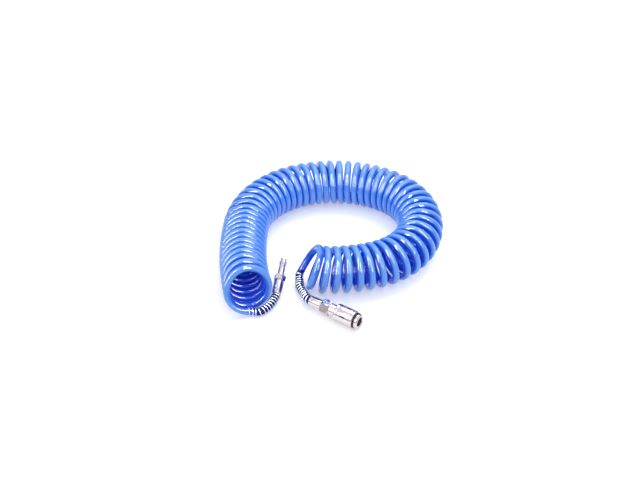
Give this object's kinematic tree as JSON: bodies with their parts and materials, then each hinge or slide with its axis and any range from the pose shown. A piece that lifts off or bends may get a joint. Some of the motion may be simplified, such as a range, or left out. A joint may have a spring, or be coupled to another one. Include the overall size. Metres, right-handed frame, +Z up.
{
  "type": "coiled air hose",
  "caption": "Blue coiled air hose with a spring-guarded plug at one end and a sleeve quick coupler at the other, lying in a loop.",
  "frame": {"origin": "on the floor under the middle of the whole hose's bounding box", "axes": "+Z up from the floor; +X to the right and +Y away, seen from the side where both fittings lie"},
  "size_m": [0.3164, 0.3398, 0.069],
  "materials": {
    "hose_blue": "clear blue polyurethane",
    "guard_wire": "bright plated spring wire",
    "plated_brass": "bright nickel plate",
    "plated_steel": "bright nickel plate",
    "spring_steel": "drawn spring wire",
    "black_steel": "black oxide",
    "ball_steel": "polished hard steel",
    "brass": "turned brass",
    "seal_rubber": "matt black nitrile rubber"
  },
  "bodies": {
    "hose_and_fittings": {"hose_coil": "hose_blue", "hose_tail_plug": "hose_blue", "hose_tail_coupler": "hose_blue", "plug_spring_guard": "guard_wire", "coupler_spring_guard": "guard_wire", "plug_clamp_nut": "plated_brass", "coupler_clamp_nut": "plated_brass", "plug_body": "plated_steel", "coupler_tail_piece": "plated_brass", "coupler_body": "plated_brass", "coupler_nose_ring": "plated_brass", "sleeve_spring": "spring_steel", "sleeve_retaining_ring": "black_steel", "valve_spring": "spring_steel", "plug_seal": "seal_rubber", "body_seal": "seal_rubber"},
    "sleeve": {"release_sleeve": "plated_steel"},
    "poppet": {"valve_poppet": "brass", "poppet_seal": "seal_rubber"},
    "ball_1": {"locking_ball_1": "ball_steel"},
    "ball_2": {"locking_ball_2": "ball_steel"},
    "ball_3": {"locking_ball_3": "ball_steel"},
    "ball_4": {"locking_ball_4": "ball_steel"},
    "ball_5": {"locking_ball_5": "ball_steel"},
    "ball_6": {"locking_ball_6": "ball_steel"}
  },
  "joints": [
    {"name": "sleeve_slide", "type": "slide", "parent": "hose_and_fittings", "child": "sleeve", "axis": [-0.8241, 0.5664, 0], "range_m": [0, 0.0045], "stiffness_N_per_m": 1500, "springref_m": -0.004, "deforming": ["sleeve_spring"]},
    {"name": "valve_slide", "type": "slide", "parent": "hose_and_fittings", "child": "poppet", "axis": [-0.8241, 0.5664, 0], "range_m": [0, 0.004], "stiffness_N_per_m": 150, "springref_m": -0.004, "deforming": ["valve_spring"]},
    {"name": "ball_slide_1", "type": "slide", "parent": "hose_and_fittings", "child": "ball_1", "axis": [0.2832, 0.4121, -0.866], "range_m": [0, 0.00101]},
    {"name": "ball_slide_2", "type": "slide", "parent": "hose_and_fittings", "child": "ball_2", "axis": [0.5664, 0.8241, 0], "range_m": [0, 0.00101]},
    {"name": "ball_slide_3", "type": "slide", "parent": "hose_and_fittings", "child": "ball_3", "axis": [0.2832, 0.4121, 0.866], "range_m": [0, 0.00101]},
    {"name": "ball_slide_4", "type": "slide", "parent": "hose_and_fittings", "child": "ball_4", "axis": [-0.2832, -0.4121, 0.866], "range_m": [0, 0.00101]},
    {"name": "ball_slide_5", "type": "slide", "parent": "hose_and_fittings", "child": "ball_5", "axis": [-0.5664, -0.8241, 0], "range_m": [0, 0.00101]},
    {"name": "ball_slide_6", "type": "slide", "parent": "hose_and_fittings", "child": "ball_6", "axis": [-0.2832, -0.4121, -0.866], "range_m": [0, 0.00101]}
  ],
  "couplings": [
    {"joint": "ball_slide_1", "follows": "sleeve_slide", "ratio": 0.22222},
    {"joint": "ball_slide_2", "follows": "sleeve_slide", "ratio": 0.22222},
    {"joint": "ball_slide_3", "follows": "sleeve_slide", "ratio": 0.22222},
    {"joint": "ball_slide_4", "follows": "sleeve_slide", "ratio": 0.22222},
    {"joint": "ball_slide_5", "follows": "sleeve_slide", "ratio": 0.22222},
    {"joint": "ball_slide_6", "follows": "sleeve_slide", "ratio": 0.22222}
  ]
}
